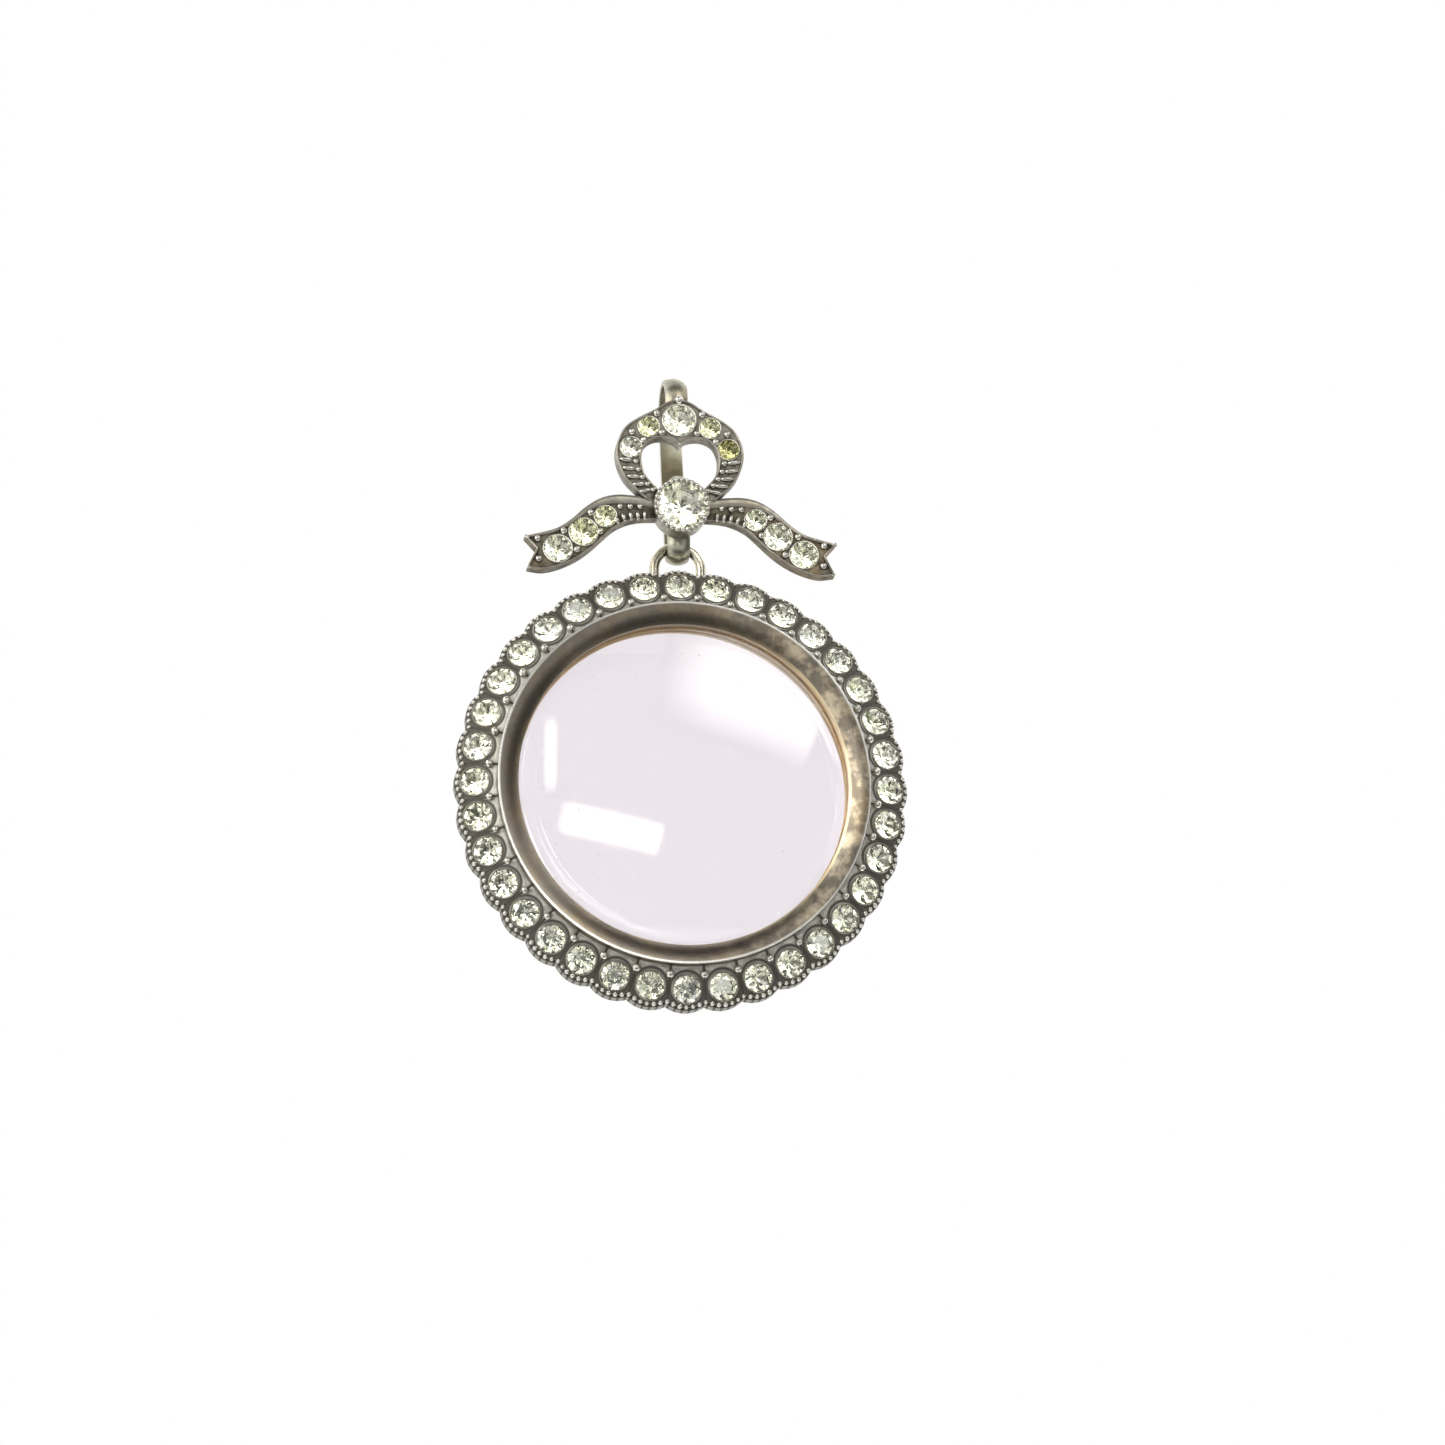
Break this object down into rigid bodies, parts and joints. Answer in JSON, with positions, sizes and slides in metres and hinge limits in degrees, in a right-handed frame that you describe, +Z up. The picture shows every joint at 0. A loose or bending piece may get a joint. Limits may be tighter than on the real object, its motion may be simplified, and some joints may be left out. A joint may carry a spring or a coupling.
{
  "type": "locket pendant",
  "caption": "Round glazed locket with a stone-set scalloped halo, a hinged glazed back, and a strap bail carrying a stone-set ribbon bow.",
  "frame": {"origin": "middle of the bail's eye, where the chain passes", "axes": "+Z up, the front faces -Y, +X to the viewer's right"},
  "size_m": [0.0384, 0.0081, 0.0564],
  "materials": {
    "silver": "old silver, softly worn and tarnished in the recesses",
    "gold_tone": "worn gilt, seen on the inner rings",
    "pin_steel": "dull drawn wire",
    "paste": "faceted lead glass, foil backed, faint yellow-green",
    "glazing": "clear polished glass"
  },
  "bodies": {
    "bail": {"bail_strap": "silver", "bow_loops": "silver", "bow_tail_left": "silver", "bow_tail_right": "silver", "knot_collet": "silver", "knot_stone": "paste", "bow_top_stone": "paste", "loop_stones": "paste", "tail_stones_left": "paste", "tail_stones_right": "paste"},
    "locket": {"suspension_loop": "silver", "halo_frame": "silver", "halo_stones": "paste", "case_band": "silver", "front_glass": "glazing", "front_photo_ring": "gold_tone", "case_knuckles": "silver", "hinge_pin": "pin_steel"},
    "rear_door": {"rear_bezel": "silver", "rear_glass": "glazing", "rear_photo_ring": "gold_tone", "door_knuckle": "silver", "thumb_lip": "silver"}
  },
  "joints": [
    {"name": "locket_swing", "type": "hinge", "parent": "bail", "child": "locket", "pos_m": [0, 0, -0.01285], "axis": [1, 0, 0], "range_deg": [-65, 100]},
    {"name": "door_hinge", "type": "hinge", "parent": "locket", "child": "rear_door", "pos_m": [-0.01635, 0.00125, -0.03435], "axis": [0, 0, 1], "range_deg": [0, 120]}
  ]
}
